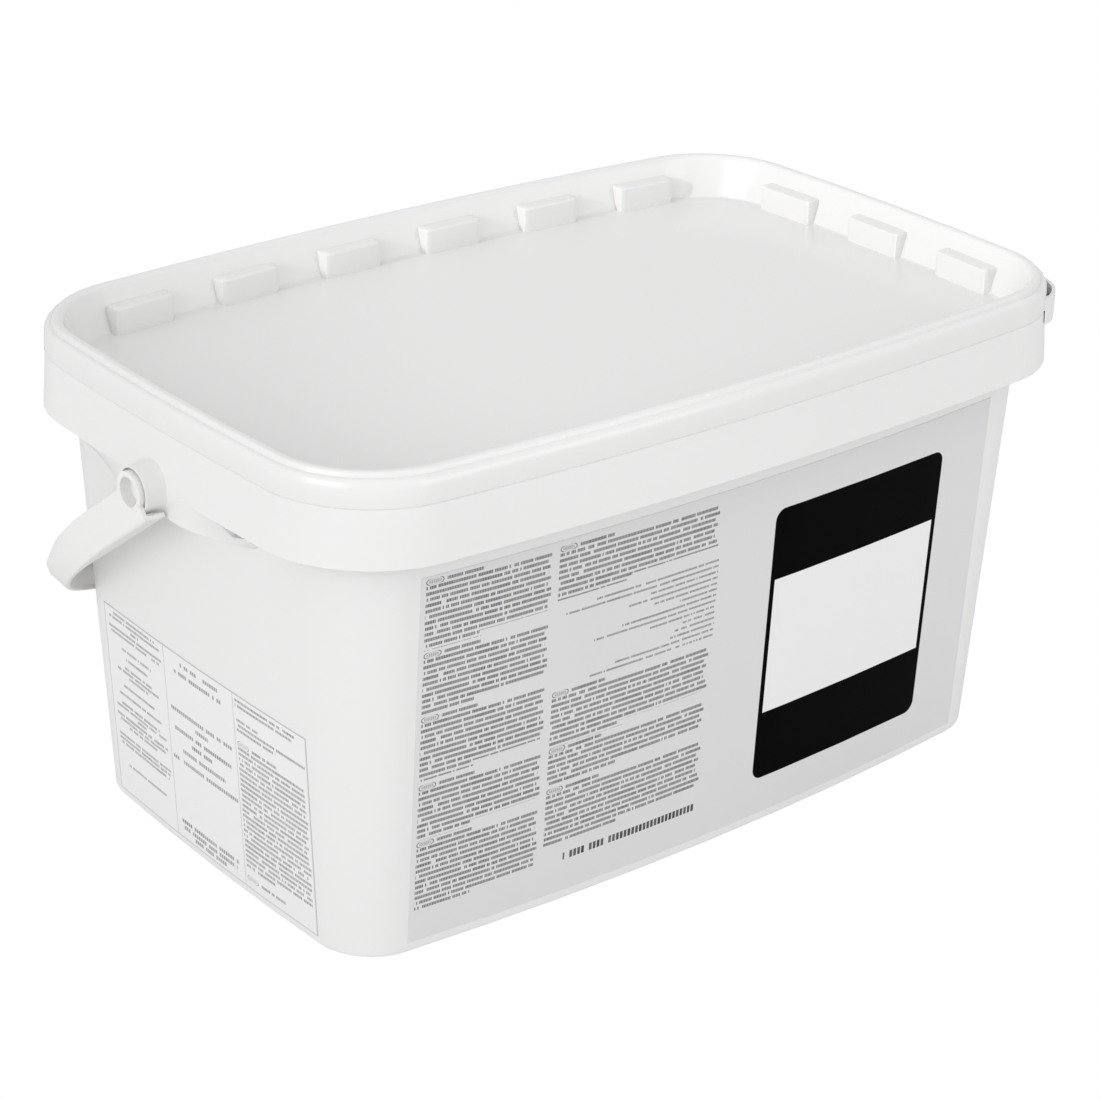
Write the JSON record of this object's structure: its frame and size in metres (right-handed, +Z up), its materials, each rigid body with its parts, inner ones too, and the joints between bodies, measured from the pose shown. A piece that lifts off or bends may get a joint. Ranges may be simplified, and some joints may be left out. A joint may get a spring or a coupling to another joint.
{
  "type": "oven cleaning tablet tub",
  "caption": "White bowed plastic tub with a hanging collar, a lift-off stacking lid, a swinging bail handle and printed labels.",
  "frame": {"origin": "centre of the tub's flat base", "axes": "+Z up, +X right along the long side, the labelled front faces -Y"},
  "size_m": [0.4024, 0.2451, 0.2062],
  "materials": {
    "tub_plastic": "white moulded polypropylene, semi-gloss",
    "lid_plastic": "white moulded polypropylene, semi-gloss",
    "handle_plastic": "white moulded polypropylene, semi-gloss",
    "front_print": "printed light grey film",
    "side_print": "printed white film"
  },
  "bodies": {
    "tub_body": {"tub": "tub_plastic", "front_label": "front_print", "side_label": "side_print"},
    "lid_body": {"lid": "lid_plastic"},
    "handle_body": {"handle": "handle_plastic"}
  },
  "joints": [
    {"name": "lid_lift", "type": "slide", "parent": "tub_body", "child": "lid_body", "axis": [0, 0, 1], "range_m": [0, 0.06]},
    {"name": "handle_swing", "type": "hinge", "parent": "tub_body", "child": "handle_body", "pos_m": [0, 0, 0.1704], "axis": [1, 0, 0], "range_deg": [0, 252]}
  ]
}
